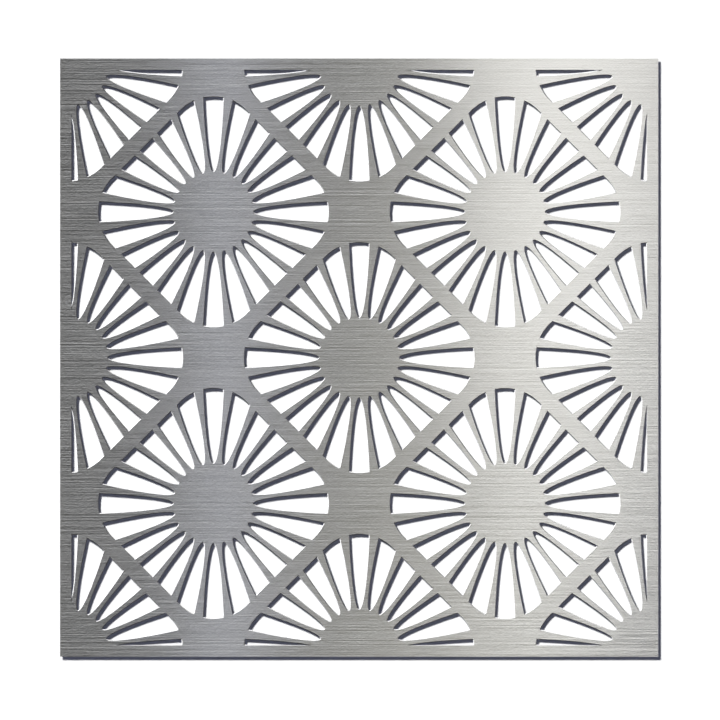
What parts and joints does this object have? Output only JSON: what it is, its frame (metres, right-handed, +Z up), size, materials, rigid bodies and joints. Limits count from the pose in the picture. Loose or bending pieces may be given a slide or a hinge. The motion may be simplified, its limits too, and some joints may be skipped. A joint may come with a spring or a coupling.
{
  "type": "laser cut metal screen panel",
  "caption": "Square flat brushed steel screen panel, laser cut with a repeating sunburst rosette pattern inside a plain border.",
  "frame": {"origin": "centre of the back face, in the middle of the central hub", "axes": "+X to the right seen from the front, +Y from the front face to the back face, +Z up; the brushing runs along X"},
  "size_m": [0.6, 0.003, 0.6],
  "materials": {
    "brushed_steel": "straight horizontal brushing on both faces, plain laser cut edges"
  },
  "bodies": {
    "root": {"screen_panel": "brushed_steel"}
  },
  "joints": []
}
